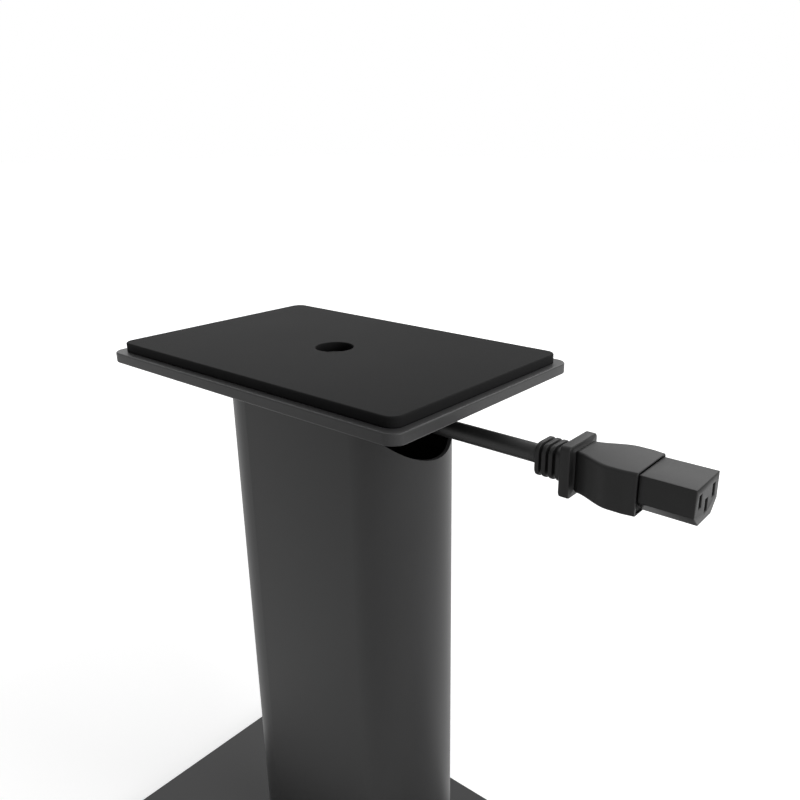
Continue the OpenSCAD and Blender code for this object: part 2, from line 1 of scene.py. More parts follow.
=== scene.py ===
"""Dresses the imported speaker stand: its finishes, its fine forms, its mains lead and the stage.

Metres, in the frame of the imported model: +Z is up, the origin is on the floor under the middle of
the base, and the lead leaves the column at the rear, which is +Y.
"""
from math import pi, radians

import bmesh
import bpy
import numpy as np
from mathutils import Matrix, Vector


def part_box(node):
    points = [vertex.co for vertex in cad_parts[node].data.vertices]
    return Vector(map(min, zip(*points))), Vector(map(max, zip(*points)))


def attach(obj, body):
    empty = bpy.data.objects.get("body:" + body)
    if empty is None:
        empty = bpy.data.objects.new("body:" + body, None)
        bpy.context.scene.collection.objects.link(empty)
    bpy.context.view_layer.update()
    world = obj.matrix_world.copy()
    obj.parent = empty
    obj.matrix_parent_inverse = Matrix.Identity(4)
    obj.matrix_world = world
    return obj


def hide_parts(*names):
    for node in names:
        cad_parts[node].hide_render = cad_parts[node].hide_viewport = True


bl_info = {
    "name": "Speaker Stand",
    "version": (1, 0, 0),
    "blender": (4, 5, 0),
    "location": "3D View > Sidebar > Speaker Stand",
    "description": "Finishes, fine forms, mains lead and stage for a speaker stand",
    "category": "Add Mesh",
}

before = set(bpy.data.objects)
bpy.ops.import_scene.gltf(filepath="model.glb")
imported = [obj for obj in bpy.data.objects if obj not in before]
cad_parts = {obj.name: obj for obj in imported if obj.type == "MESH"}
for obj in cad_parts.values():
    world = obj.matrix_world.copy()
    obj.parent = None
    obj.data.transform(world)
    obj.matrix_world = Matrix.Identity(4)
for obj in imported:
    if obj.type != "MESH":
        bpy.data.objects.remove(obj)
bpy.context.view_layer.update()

# Route of the lead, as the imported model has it
LEAD_ROUTE = np.array([
    (0, 0.1285, 0.352), (0, 0.109, 0.352), (0, 0.09, 0.352), (0, 0.07, 0.352), (0, 0.05, 0.352),
    (0, 0.036, 0.3495), (0, 0.0235, 0.342), (0, 0.014, 0.3295), (0, 0.01, 0.312), (0.001, 0.009, 0.29),
    (0.003, 0.008, 0.267), (0.004, 0.008, 0.243), (0.003, 0.008, 0.219), (0, 0.008, 0.195),
    (-0.003, 0.008, 0.171), (-0.004, 0.008, 0.147), (-0.003, 0.008, 0.123), (-0.001, 0.009, 0.102),
    (0, 0.01, 0.084), (0, 0.01, 0.0674), (0, 0.014, 0.05), (0, 0.0235, 0.0374), (0, 0.036, 0.03),
    (0, 0.05, 0.0274), (0, 0.068, 0.0274), (-0.002, 0.085, 0.0252), (-0.007, 0.103, 0.0222),
    (-0.015, 0.121, 0.0214), (-0.024, 0.138, 0.0214), (-0.033, 0.154, 0.0214), (-0.04, 0.167, 0.0214),
    (-0.047, 0.18, 0.0188), (-0.052, 0.193, 0.014), (-0.056, 0.206, 0.009), (-0.058, 0.218, 0.0063),
    (-0.0584, 0.228, 0.0057), (-0.0584, 0.2362, 0.0057),
])
# Which of its points lie in the column's upper and lower notch
GOES_IN = 4
COMES_OUT = 23
TAIL_ROUTE = np.array([
    (0.0088, 0.3034, 0.0151), (0.024, 0.3034, 0.0151), (0.04, 0.302, 0.0142), (0.055, 0.297, 0.013),
    (0.067, 0.288, 0.0122), (0.0745, 0.277, 0.012), (0.077, 0.266, 0.012), (0.077, 0.256, 0.012),
])
COIL_MIDDLE = np.array((0, 0.245, 0))

# Directions
ACROSS = np.array((1.0, 0, 0))
UPWARDS = np.array((0, 0, 1.0))

# Corners of the base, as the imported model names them
FEET = [(end, side) for end in ("front", "rear") for side in ("left", "right")]


# Settings

def number(name, description, default, **kind):
    """A number that can be set."""
    return bpy.props.FloatProperty(name=name, description=description, default=default, **kind)


def numbers(name, description, default, **kind):
    """A few numbers that are set together."""
    return bpy.props.FloatVectorProperty(
        name=name, description=description, default=default, **kind)


def size(name, description, default):
    """A size that can be set."""
    return number(name, description, default, unit="LENGTH")


class PlateSettings(bpy.types.PropertyGroup):
    mat_corner: size("Mat corner", "Corner radius of the rubber mat", 0.006)
    mat_edge: size("Mat edge", "Radius round the mat's upper edge", 0.0007)
    mat_hole: size("Mat hole", "Diameter of the hole over the pivot screw", 0.02)
    plate_corner: size("Plate corner", "Corner radius of the top plate", 0.007)
    plate_edge: size("Plate edge", "Radius round the top plate's edges", 0.0007)


class ScrewSettings(bpy.types.PropertyGroup):
    head: size("Pivot head", "Diameter of the pivot screw's head", 0.016)
    shank: size("Pivot shank", "Diameter of the pivot screw's shank", 0.008)
    rim: size("Head rim", "Straight rim of a countersunk head", 0.0004)
    socket: size("Socket", "Width across the flats of the pivot screw's socket", 0.005)
    socket_depth: size("Socket depth", "Depth of the pivot screw's socket", 0.003)
    pitch: size("Pivot pitch", "Pitch of the pivot screw's thread", 0.00125)
    base_head: size("Base screw head", "Diameter of a base screw's head", 0.012)
    base_shank: size("Base screw shank", "Diameter of a base screw's shank", 0.006)
    base_socket: size("Base socket", "Width across the flats of a base screw's socket", 0.004)
    base_socket_depth: size("Base socket depth", "Depth of a base screw's socket", 0.0025)
    foot_stud: size("Foot stud", "Diameter of a foot's stud", 0.006)
    foot_pitch: size("Foot pitch", "Pitch of the threads of a stud and a base screw", 0.001)
    collar: size("Foot collar", "Width across the flats of a foot's collar", 0.015)
    running_gap: size("Running gap", "Gap round a shank in its hole", 0.00006)


class ConnectorSettings(bpy.types.PropertyGroup):
    ribs: bpy.props.IntProperty(
        name="Ribs", description="Ribs on the connector's strain relief", default=3)
    rib: size("Rib", "Length of one rib", 0.0022)
    groove: size("Groove", "Length of the groove behind a rib", 0.0012)
    groove_depth: size("Groove depth", "Depth of the groove", 0.0019)
    relief: size("Relief", "Width and height of the strain relief", 0.0155)
    neck: size("Neck", "Length of the smooth neck behind the flange", 0.0043)
    flange: numbers(
        "Flange", "Width, thickness and height of the finger flange", (0.024, 0.005, 0.0235),
        unit="LENGTH")
    grip: numbers(
        "Grip", "Greatest width, length and height of the grip", (0.029, 0.0305, 0.019),
        unit="LENGTH")
    waist: size("Waist", "Width of the grip behind its flange", 0.016)
    shoulder: size("Shoulder", "Width of the grip where the nose comes out", 0.0274)
    crease: size("Crease", "Depth of the crease between the flange and the grip", 0.0006)
    recess: size("Recess", "Depth of the recess that the nose's root stands in", 0.0009)
    recess_gap: size("Recess gap", "Gap between the nose and the recess's wall", 0.0005)


class PlugSettings(bpy.types.PropertyGroup):
    grip: numbers(
        "Grip", "Length of the plug's grip, and its width and height at the face",
        (0.03, 0.027, 0.024), unit="LENGTH")
    boot: size("Strain relief", "Length of the strain relief", 0.026)
    thin: size("Thin end", "Diameter of its thin end", 0.0112)
    thick: size("Thick end", "Diameter of its thick end", 0.015)
    ribs: bpy.props.IntProperty(name="Ribs", description="Ribs on the strain relief", default=6)
    groove: size("Groove", "Depth of the grooves between them", 0.001)
    tie: size("Tie", "Thickness of the strap round the coil", 0.001)


class LeadSettings(bpy.types.PropertyGroup):
    diameter: size("Diameter", "Outside diameter of the mains lead", 0.0088)
    turns: number("Coil turns", "Turns in the tied coil behind the base", 4.25)
    across: number("Coil across", "Diameters of the lead across the coil's middle turns", 11)
    turn_gap: size("Turn gap", "Gap between neighbouring turns", 0.0006)
    lowest: size("Lowest turns", "Height of the lowest turns' middle line", 0.0057)


class FinishSettings(bpy.types.PropertyGroup):
    coat: numbers(
        "Powder coat", "Colour of the coated steel", (0.04, 0.04, 0.0405), subtype="COLOR")
    mat: numbers("Mat", "Colour of the rubber mat", (0.014, 0.014, 0.0142), subtype="COLOR")
    sheath: numbers("Sheath", "Colour of the lead's sheath", (0.014, 0.014, 0.014), subtype="COLOR")
    moulding: numbers(
        "Moulding", "Colour of the connector and the plug", (0.013, 0.013, 0.013), subtype="COLOR")


class StageSettings(bpy.types.PropertyGroup):
    focal: number("Focal length", "Focal length on a 36 mm wide sensor, in millimetres", 35.02)
    place: numbers(
        "Camera", "Where the camera stands", (0.27684, 0.28897, 0.4847), subtype="TRANSLATION",
        unit="LENGTH")
    tilt: number("Tilt", "Camera's turn from straight down", radians(70.656), subtype="ANGLE")
    heading: number(
        "Heading", "Camera's turn about the vertical", radians(128.34), subtype="ANGLE")
    shift: numbers(
        "Shift", "Sideways and upward shift of the picture, as shares of its width",
        (-0.04892, 0.01091), size=2)
    floor_size: size("Floor", "Width of the floor", 30)
    fill: number("Fill", "Strength of the light from all round", 0.06)


# Surfaces

# Columns round a turned form, and rows of a thread in one turn
TURN_COLUMNS = 48
THREAD_ROWS = 8
# Smallest step between two rings, and radius of the flat in the middle of a turned end
LEAST_STEP = 0.0001
# How far the ring that keeps an edge sharp lies from it
SHARP = 0.0002
# How far the ring that holds a rounded edge's shading lies from the corner, in edge radii
HOLD = 1.3
# Steps round a corner of a moulding
BLOCK_CORNER_STEPS = 6
# In a merged copy, how near two points are one, and the angles of a flat and of a sharp edge
SAME_POINT = 1e-6
FLAT_ANGLE = radians(0.5)
SHARP_ANGLE = radians(35)


def unit(vectors):
    """Each vector divided by its own length."""
    return vectors / np.linalg.norm(vectors, axis=-1, keepdims=True)


def smooth(share):
    """The share s from 0 to 1 as 3 s s - 2 s s s, which starts and ends level."""
    share = np.clip(share, 0, 1)
    return share * share * (3 - 2 * share)


def grid_faces(rows, columns, closed_rows=False):
    """Quads between the points of a grid that is stored row by row and closed along each row."""
    i = np.arange(rows if closed_rows else rows - 1)[:, None]
    j = np.arange(columns)[None, :]
    below = (i + 1) % rows
    beside = (j + 1) % columns
    quads = (i * columns + j, i * columns + beside, below * columns + beside, below * columns + j)
    return np.stack(np.broadcast_arrays(*quads), axis=-1).reshape(-1, 4)


def new_piece(name, points, faces, smooth_faces=True):
    """A mesh object at the origin from an array of points and a list of faces."""
    mesh = bpy.data.meshes.new(name)
    mesh.from_pydata(np.asarray(points).tolist(), [], [list(map(int, face)) for face in faces])
    mesh.polygons.foreach_set("use_smooth", np.full(len(mesh.polygons), smooth_faces))
    mesh.update()
    piece = bpy.data.objects.new(name, mesh)
    bpy.context.scene.collection.objects.link(piece)
    return piece


def skin(name, *stacks):
    """One piece of one or more closed surfaces, each through a stack of rings of the same size, with a
    flat cap on its first and its last ring."""
    rows, columns, _ = stacks[0].shape
    first = np.arange(columns)[::-1]
    last = (rows - 1) * columns + np.arange(columns)
    quads = grid_faces(rows, columns)
    faces = []
    for start in rows * columns * np.arange(len(stacks)):
        faces += [*(quads + start), first + start, last + start]
    return new_piece(name, np.concatenate([rings.reshape(-1, 3) for rings in stacks]), faces)


def ring_skin(name, rings):
    """One piece through a stack of rings whose last ring joins the first, as round a hole."""
    rows, columns, _ = rings.shape
    return new_piece(name, rings.reshape(-1, 3), grid_faces(rows, columns, closed_rows=True))


def quarter(start, middle, end, steps=4):
    """Points of a quarter turn from start to end, whose sides meet in middle: middle and the two
    steps to start and end, scaled by 1 - sin and 1 - cos of an angle that runs from 0 to 90 degrees."""
    start, middle, end = (np.array(point, float) for point in (start, middle, end))
    a = np.linspace(0, pi / 2, steps + 1)[:, None]
    return middle + (start - middle) * (1 - np.sin(a)) + (end - middle) * (1 - np.cos(a))


def rounded_outline(width, depth, corner, corner_steps=8, side_steps=12):
    """Points round a rectangle with round corners, and the outward direction at each. A corner's
    points are its middle plus the radius times (cos a, sin a), and a side's are evenly spaced."""
    a = pi / 2 * (np.arange(4)[:, None] + np.linspace(0, 1, corner_steps + 1))
    turned = np.stack((np.cos(a), np.sin(a)), axis=2)
    signs = np.array(((1, 1), (-1, 1), (-1, -1), (1, -1)))
    middles = signs * (np.array((width, depth)) / 2 - corner)
    corners = middles[:, None] + corner * turned
    start = corners[:, -1:]
    end = np.roll(corners, -1, axis=0)[:, :1]
    sides = start + (end - start) * np.linspace(0, 1, side_steps + 1)[1:-1, None]
    straight = np.broadcast_to(turned[:, -1:], sides.shape)
    places = np.concatenate((corners, sides), axis=1)
    outward = np.concatenate((turned, straight), axis=1)
    return places.reshape(-1, 2), outward.reshape(-1, 2)


def slab_rings(outline, outward, wall):
    """Rings of a plate's outer side: for each (inset, height) of the wall, the outline drawn in by
    the inset along its outward directions, at that height."""
    inset, height = np.array(wall).T
    flat = outline[None] - inset[:, None, None] * outward[None]
    return np.concatenate((flat, np.broadcast_to(height[:, None, None], (*flat.shape[:2], 1))), axis=2)


def hole_rings(outline, wall):
    """Rings of a round hole in a plate, at the outline's own directions from the middle: for each
    (radius, height) of the wall, the radius times that direction, at that height."""
    radius, height = np.array(wall).T
    flat = radius[:, None, None] * unit(outline)[None]
    return np.concatenate((flat, np.broadcast_to(height[:, None, None], (*flat.shape[:2], 1))), axis=2)


def smooth_line(points, steps):
    """A line through all the points: between two of them the place is the cubic whose direction at
    a point is half the way from the point before it to the point after it."""
    padded = np.vstack((2 * points[0] - points[1], points, 2 * points[-1] - points[-2]))
    before, start, end, after = (padded[k:len(padded) - 3 + k, None] for k in range(4))
    t = (np.arange(steps) / steps)[None, :, None]
    line = 0.5 * (
        2 * start + (end - before) * t
        + (2 * before - 5 * start + 4 * end - after) * t ** 2
        + (3 * start - before - 3 * end + after) * t ** 3
    )
    return np.vstack((line.reshape(-1, points.shape[1]), points[-1]))


def tube_rings(line, radius, up, sides=20):
    """Circles across the line: place + radius (side cos a + rise sin a), where side lies across both
    the line's direction and up, and rise across the side and the direction."""
    along = unit(np.gradient(line, axis=0))
    side = unit(np.cross(along, up))
    rise = np.cross(along, side)
    a = np.linspace(0, 2 * pi, sides, endpoint=False)[None, :, None]
    return line[:, None] + radius * (side[:, None] * np.cos(a) + rise[:, None] * np.sin(a))


def turned_rings(profile, place):
    """Rings of a turned form about a vertical axis through the place. profile is rows of
    (radius, height), and a row's radius is one number or an array with a radius for each column."""
    a = np.linspace(0, 2 * pi, TURN_COLUMNS, endpoint=False)
    rows = [
        np.stack((radius * np.cos(a), radius * np.sin(a), np.full(a.shape, float(height))), axis=1)
        for radius, height in profile
    ]
    return np.stack(rows) + np.array((place[0], place[1], 0.0))


def hexagon_radius(across_flats):
    """Distance from the middle to a hexagon's side: half the width across the flats divided by the
    cosine of the angle from the nearest flat's middle. The first corner lies at angle 0."""
    a = np.linspace(0, 2 * pi, TURN_COLUMNS, endpoint=False)
    return across_flats / 2 / np.cos(a % (pi / 3) - pi / 6)


def hexagon_rows(across_flats, low, high, cuts):
    """Rows of a hexagon whose corners are cut at both ends. A cut is (share, rise): that far from the
    end the radius is at most the share times half the width across the flats."""
    corner = hexagon_radius(across_flats)
    rows = [(np.minimum(corner, across_flats / 2 * share), rise) for share, rise in cuts]
    return [(r, low + rise) for r, rise in rows] + [(r, high - rise) for r, rise in rows[::-1]]


def thread_rows(diameter, pitch, low, high):
    """Rows of a screw thread: at angle a and height z the radius is half the diameter less 0.6 pitch
    times the distance of z / pitch - a / 360 degrees from the nearest whole number and a half."""
    a = np.linspace(0, 1, TURN_COLUMNS, endpoint=False)
    heights = np.linspace(low, high, max(2, int((high - low) / pitch * THREAD_ROWS)))
    return [(diameter / 2 - 0.6 * pitch * np.abs((z / pitch - a) % 1 - 0.5), z) for z in heights]


def merged_copy(name, node, edge):
    """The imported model's own part with its points merged and its sharp edges rounded."""
    piece = bpy.data.objects.new(name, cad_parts[node].data.copy())
    bpy.context.scene.collection.objects.link(piece)
    shape = bmesh.new()
    shape.from_mesh(piece.data)
    bmesh.ops.remove_doubles(shape, verts=shape.verts, dist=SAME_POINT)
    bmesh.ops.dissolve_limit(shape, angle_limit=FLAT_ANGLE, verts=shape.verts, edges=shape.edges)
    shape.to_mesh(piece.data)
    shape.free()
    piece.data.polygons.foreach_set("use_smooth", np.ones(len(piece.data.polygons), bool))
    rounding = piece.modifiers.new("rounding", "BEVEL")
    rounding.width = edge
    rounding.segments = 2
    rounding.limit_method = "ANGLE"
    rounding.angle_limit = SHARP_ANGLE
    rounding.harden_normals = True
    return piece


# Finishes

def fill(tree, node, inputs):
    """Fills a node's inputs with values or links."""
    for key, value in inputs.items():
        if isinstance(value, bpy.types.NodeSocket):
            tree.links.new(value, node.inputs[key])
        else:
            node.inputs[key].default_value = value


def add(tree, kind, inputs=None, **settings):
    """A new node with its settings and its inputs."""
    node = tree.nodes.new(f"ShaderNode{kind}")
    for key, value in settings.items():
        setattr(node, key, value)
    fill(tree, node, inputs or {})
    return node


def worked_out(tree, operation, first, second):
    """The result of one operation on two numbers or links."""
    return add(tree, "Math", {0: first, 1: second}, operation=operation).outputs[0]


def new_group(name, incoming, outgoing):
    """A node group and the inner ends of its sockets. A socket is a row of its name and kind, and of
    its default and range where it has them."""
    tree = bpy.data.node_groups.new(name, "ShaderNodeTree")
    for in_out, rows in (("INPUT", incoming), ("OUTPUT", outgoing)):
        for title, kind, *values in rows:
            made = tree.interface.new_socket(
                name=title, in_out=in_out, socket_type=f"NodeSocket{kind}")
            for key, value in zip(("default_value", "min_value", "max_value"), values):
                setattr(made, key, value)
    inside = tree.nodes.new("NodeGroupInput").outputs
    outside = tree.nodes.new("NodeGroupOutput").inputs
    return tree, inside, outside


def grain_group():
    """Fine grain of a coat or a moulding: two sizes of noise mixed into one height."""
    tree, inside, outside = new_group("Fine grain", [
        ("Place", "Vector"), ("Grains per metre", "Float", 900.0), ("Fine share", "Float", 0.4, 0, 1),
    ], [("Height", "Float")])
    coarse = add(tree, "TexNoise", {
        "Vector": inside["Place"], "Scale": inside["Grains per metre"], "Detail": 2.0,
        "Roughness": 0.5})
    closer = worked_out(tree, "MULTIPLY", inside["Grains per metre"], 3.7)
    fine = add(tree, "TexNoise", {
        "Vector": inside["Place"], "Scale": closer, "Detail": 1.0, "Roughness": 0.5})
    both = add(tree, "Mix", {0: inside["Fine share"], 2: coarse.outputs["Fac"], 3: fine.outputs["Fac"]})
    tree.links.new(both.outputs[0], outside["Height"])
    return tree


def drift_group():
    """Slow drift of a colour and of a roughness over the surface: noise about its mean, times a
    share, scales the colour and is added to the roughness."""
    tree, inside, outside = new_group("Slow drift", [
        ("Place", "Vector"), ("Patches per metre", "Float", 12.0),
        ("Colour", "Color", (0.05, 0.05, 0.05, 1.0)), ("Colour share", "Float", 0.15, 0, 1),
        ("Roughness", "Float", 0.5, 0, 1), ("Roughness swing", "Float", 0.05, 0, 1),
    ], [("Drifted colour", "Color"), ("Drifted roughness", "Float")])
    patches = add(tree, "TexNoise", {
        "Vector": inside["Place"], "Scale": inside["Patches per metre"], "Detail": 4.0,
        "Roughness": 0.6})
    centred = worked_out(tree, "SUBTRACT", patches.outputs["Fac"], 0.5)
    swing = worked_out(tree, "MULTIPLY", centred, inside["Colour share"])
    gain = worked_out(tree, "ADD", swing, 1.0)
    drifted = add(tree, "VectorMath", {0: inside["Colour"], "Scale": gain}, operation="SCALE")
    tree.links.new(drifted.outputs[0], outside["Drifted colour"])
    rough_swing = worked_out(tree, "MULTIPLY", centred, inside["Roughness swing"])
    rough = worked_out(tree, "ADD", rough_swing, inside["Roughness"])
    tree.links.new(rough, outside["Drifted roughness"])
    return tree


def shared_group(name, build):
    """A node group, built when it is first asked for."""
    return bpy.data.node_groups.get(name) or build()


def grained_finish(tint, roughness, grains=900.0, relief=0.00002, metallic=0.0, swing=0.06,
                   fine_share=0.4, patches=14.0, specular=0.5):
    """A finish with grain in its relief and a slow drift in its colour and gloss."""
    material = bpy.data.materials.new("grained_finish")
    material.use_nodes = True
    tree = material.node_tree
    place = add(tree, "TexCoord").outputs["Object"]
    drift = add(tree, "Group", {
        "Place": place, "Patches per metre": patches, "Colour": (*tint, 1.0),
        "Roughness": roughness, "Roughness swing": swing,
    }, node_tree=shared_group("Slow drift", drift_group))
    grain = add(tree, "Group", {
        "Place": place, "Grains per metre": grains, "Fine share": fine_share,
    }, node_tree=shared_group("Fine grain", grain_group))
    bump = add(tree, "Bump", {"Height": grain.outputs["Height"], "Strength": 1.0, "Distance": relief})
    fill(tree, tree.nodes["Principled BSDF"], {
        "Base Color": drift.outputs["Drifted colour"], "Roughness": drift.outputs["Drifted roughness"],
        "Metallic": metallic, "Specular IOR Level": specular, "Normal": bump.outputs["Normal"],
    })
    return material


def powder_coat():
    return grained_finish(
        bpy.context.scene.stand_finish.coat, 0.42, grains=700.0, relief=0.00003, fine_share=0.35,
        specular=0.25)


def mat_rubber():
    return grained_finish(
        bpy.context.scene.stand_finish.mat, 0.62, grains=1500.0, relief=0.00003, fine_share=0.5,
        specular=0.038)


def foot_rubber():
    return grained_finish((0.015, 0.015, 0.015), 0.75, grains=1800.0, specular=0.25)


def black_screw():
    return grained_finish((0.04, 0.04, 0.042), 0.48, grains=2600.0, relief=0.00001, metallic=0.2)


def zinc_steel():
    return grained_finish(
        (0.62, 0.63, 0.64), 0.3, grains=2400.0, relief=0.00001, metallic=1.0, swing=0.12)


def nylon():
    return grained_finish((0.72, 0.7, 0.65), 0.5, grains=1200.0, relief=0.00001)


def moulded_plastic():
    return grained_finish(
        bpy.context.scene.stand_finish.moulding, 0.45, grains=2200.0, relief=0.000025,
        fine_share=0.5, specular=0.22)


def contact_brass():
    return grained_finish(
        (0.72, 0.52, 0.24), 0.26, grains=2400.0, relief=0.000006, metallic=1.0, swing=0.15)


def lead_sheath():
    return grained_finish(
        bpy.context.scene.stand_finish.sheath, 0.45, grains=1600.0, relief=0.00001, patches=25.0,
        specular=0.36)


def tie_plastic():
    return grained_finish((0.016, 0.016, 0.017), 0.6, grains=2000.0, specular=0.3)


FINISHES = {make.__name__: make for make in (
    powder_coat, mat_rubber, foot_rubber, black_screw, zinc_steel, nylon, moulded_plastic,
    contact_brass, lead_sheath, tie_plastic,
)}


def dress(piece, slot_name):
    """Gives a piece the finish that a slot name stands for, in place of any that it has."""
    material = bpy.data.materials.get(f"{slot_name}_finish")
    if material is None:
        material = FINISHES[slot_name]()
        material.name = f"{slot_name}_finish"
    piece.data.materials.clear()
    piece.data.materials.append(material)


def place_piece(piece, slot_name, body, *nodes):
    """Dresses a new piece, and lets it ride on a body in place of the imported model's nodes."""
    dress(piece, slot_name)
    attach(piece, body)
    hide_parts(*nodes)


# Lead

def coil_line(lead, steps=72):
    """The coil's middle line. Its distance from the middle falls by one step for each turn up to half
    way and then grows again, while its height climbs one step in the half turn about that place."""
    step = lead.diameter + lead.turn_gap
    turns = np.arange(int(lead.turns * steps) + 1) / steps
    past_half = turns - lead.turns / 2
    radius = lead.across * lead.diameter / 2 - step * lead.turns / 4 + step * np.abs(past_half)
    height = lead.lowest + step * smooth(2 * past_half + 0.5)
    angle = 2 * pi * turns
    return COIL_MIDDLE + np.stack((-radius * np.cos(angle), radius * np.sin(angle), height), axis=1)


class STAND_OT_lead(bpy.types.Operator):
    """Lays the mains lead from the appliance connector through the column to the coil and the plug"""
    bl_idname = "speaker_stand.lead"
    bl_label = "Mains Lead"

    def execute(self, context):
        lead = context.scene.stand_lead
        radius = lead.diameter / 2
        upper = smooth_line(LEAD_ROUTE[:GOES_IN + 1], steps=4)[::-1]
        inner = smooth_line(LEAD_ROUTE[GOES_IN:COMES_OUT + 1], steps=6)
        lower = np.vstack((
            smooth_line(LEAD_ROUTE[COMES_OUT:], steps=6), coil_line(lead),
            smooth_line(TAIL_ROUTE, steps=6)))
        top = skin("sheath_top", tube_rings(upper, radius, ACROSS))
        inside = skin("sheath_inside", tube_rings(inner, radius, ACROSS))
        behind = skin("sheath_behind", tube_rings(lower, radius, UPWARDS))
        place_piece(top, "lead_sheath", "stand", "cord_top")
        place_piece(inside, "lead_sheath", "stand", "cord_inside")
        place_piece(behind, "lead_sheath", "stand", "cord_behind", "cord_coil", "cord_tail")
        return {"FINISHED"}


# Top plate and mat

def rubber_mat(plates):
    """The mat: its outline is drawn in round the upper edge by a quarter circle, and so is the hole's,
    with half the radius."""
    low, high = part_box("top_mat")
    outline, outward = rounded_outline(high.x - low.x, high.y - low.y, plates.mat_corner)
    edge = plates.mat_edge
    hole = plates.mat_hole / 2
    outside = slab_rings(outline, outward, [
        (0, low.z), (0, low.z + edge), (0, high.z - HOLD * edge),
        *quarter((0, high.z - edge), (0, high.z), (edge, high.z)), (HOLD * edge, high.z),
    ])
    inside = hole_rings(outline, [
        (hole + HOLD * edge, high.z),
        *quarter((hole + edge / 2, high.z), (hole, high.z), (hole, high.z - edge / 2)),
        (hole, high.z - edge), (hole, low.z),
    ])
    return ring_skin("mat", np.concatenate((outside, inside)))


def steel_plate(plates, screws):
    """The top plate: its outline is drawn in round both edges by quarter circles, and its hole follows
    the pivot screw's rim, its cone at 45 degrees and its shank."""
    low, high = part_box("top_plate")
    outline, outward = rounded_outline(high.x - low.x, high.y - low.y, plates.plate_corner)
    edge = plates.plate_edge
    head = screws.head / 2
    shank = screws.shank / 2 + screws.running_gap
    cone = high.z - screws.rim - (screws.head - screws.shank) / 2
    outside = slab_rings(outline, outward, [
        (HOLD * edge, low.z), *quarter((edge, low.z), (0, low.z), (0, low.z + edge)),
        (0, low.z + HOLD * edge), (0, high.z - HOLD * edge),
        *quarter((0, high.z - edge), (0, high.z), (edge, high.z)), (HOLD * edge, high.z),
    ])
    inside = hole_rings(outline, [
        (head + SHARP, high.z), (head, high.z), (head, high.z - screws.rim), (shank, cone),
        (shank, low.z), (shank + SHARP, low.z),
    ])
    return ring_skin("steel_top", np.concatenate((outside, inside)))


class STAND_OT_top(bpy.types.Operator):
    """Makes the rubber mat with its round hole and the top plate with its countersunk hole"""
    bl_idname = "speaker_stand.top"
    bl_label = "Mat and Top Plate"

    def execute(self, context):
        plates = context.scene.stand_plates
        place_piece(rubber_mat(plates), "mat_rubber", "platform", "top_mat")
        steel_top = steel_plate(plates, context.scene.stand_screws)
        place_piece(steel_top, "powder_coat", "platform", "top_plate")
        return {"FINISHED"}


# Screws and feet

# Broken edge of a screw's head and socket, and of a stud's lower end
HEAD_EDGE = 0.0003
STUD_EDGE = 0.0004
# How far a socket's drilled floor falls, half way to its middle and in its middle
FLOOR_FALLS = (0.0004, 0.0007)
# Length and depth of a thread's pointed tip, and length of the smooth stretch before a thread
TIP_LENGTH = 0.0006
TIP_DEPTH = 0.0008
RUN_OUT = 0.0004
# Share of a base screw's length that lies before its thread
BASE_RUN_SHARE = 0.4
# Cut corners of the nut and of a foot's collar, as hexagon_rows takes them
NUT_CUTS = ((1.05, 0.0003), (1.1, 0.0006), (1.2, 0.001))
COLLAR_CUTS = ((1.11, 0.0004), (1.2, 0.0008))
# A collar's face: the circle that cuts its corners, as a share of its width, and the edge round it
COLLAR_FACE_SHARE = 0.53
COLLAR_FACE_EDGE = 0.0005


def countersunk_profile(rim, head, shank, across, depth, length, pitch, thread_from):
    """Profile of a countersunk socket screw from the socket's floor over its head to its tip. Its
    heights are distances below the head's face, and its cone leans at 45 degrees."""
    head = head / 2
    shaft = shank / 2
    socket = hexagon_radius(across)
    return [
        (LEAST_STEP, -depth - FLOOR_FALLS[1]), (socket / 2, -depth - FLOOR_FALLS[0]),
        (socket, -depth), (socket, -HEAD_EDGE), (socket + HEAD_EDGE, 0), (head - HEAD_EDGE, 0),
        (head - HEAD_EDGE / 3, -HEAD_EDGE / 3), (head, -HEAD_EDGE), (head, -rim),
        (shaft, shaft - rim - head), (shaft, RUN_OUT - thread_from),
        *thread_rows(shank, pitch, TIP_LENGTH - length, -thread_from)[::-1],
        (shaft - TIP_DEPTH, -length), (LEAST_STEP, -length),
    ]


class STAND_OT_screws(bpy.types.Operator):
    """Turns the pivot screw and the four base screws with their hexagon sockets and threads"""
    bl_idname = "speaker_stand.screws"
    bl_label = "Screws"

    def execute(self, context):
        screws = context.scene.stand_screws
        low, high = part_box("pivot_screw")
        length = high.z - low.z
        profile = countersunk_profile(
            screws.rim, screws.head, screws.shank, screws.socket, screws.socket_depth, length,
            screws.pitch, length / 2)
        rings = turned_rings([(radius, high.z + z) for radius, z in profile], (0, 0))[::-1]
        place_piece(skin("pivot_bolt", rings), "black_screw", "platform", "pivot_screw")
        low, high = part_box("base_screws")
        length = high.z - low.z
        profile = countersunk_profile(
            screws.rim, screws.base_head, screws.base_shank, screws.base_socket,
            screws.base_socket_depth, length, screws.foot_pitch, length * BASE_RUN_SHARE)
        turned_over = [(radius, low.z - z) for radius, z in profile]
        x = high.x - screws.base_head / 2
        y = high.y - screws.base_head / 2
        places = [(right * x, back * y) for right in (-1, 1) for back in (-1, 1)]
        stacks = [turned_rings(turned_over, place) for place in places]
        place_piece(skin("base_bolts", *stacks), "black_screw", "stand", "base_screws")
        return {"FINISHED"}


